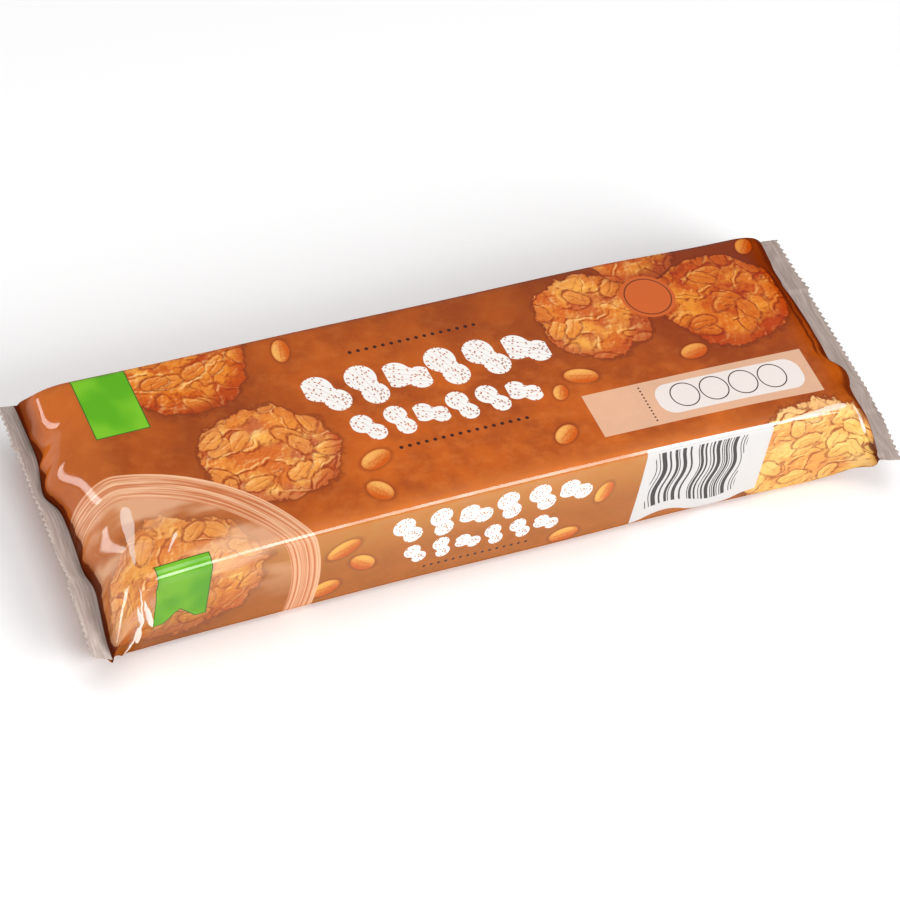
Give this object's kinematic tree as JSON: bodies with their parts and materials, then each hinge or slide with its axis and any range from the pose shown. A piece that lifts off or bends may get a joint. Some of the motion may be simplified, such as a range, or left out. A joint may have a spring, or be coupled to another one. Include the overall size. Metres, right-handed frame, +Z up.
{
  "type": "flow-wrapped cookie pack",
  "caption": "Long sealed flow-wrap film pack of cookies: a block with soft edges, a crimped saw-tooth fin at each end and a folded back seam underneath.",
  "frame": {"origin": "centre of the bounding box in plan, on the surface the pack lies on", "axes": "+X along the pack, +Y to the far side panel, +Z up through the printed face"},
  "size_m": [0.2728, 0.097, 0.037],
  "materials": {
    "film": "glossy printed wrapping film, pearl grey and unprinted on the crimped end fins"
  },
  "bodies": {
    "root": {"cookie_pack": "film"}
  },
  "joints": []
}
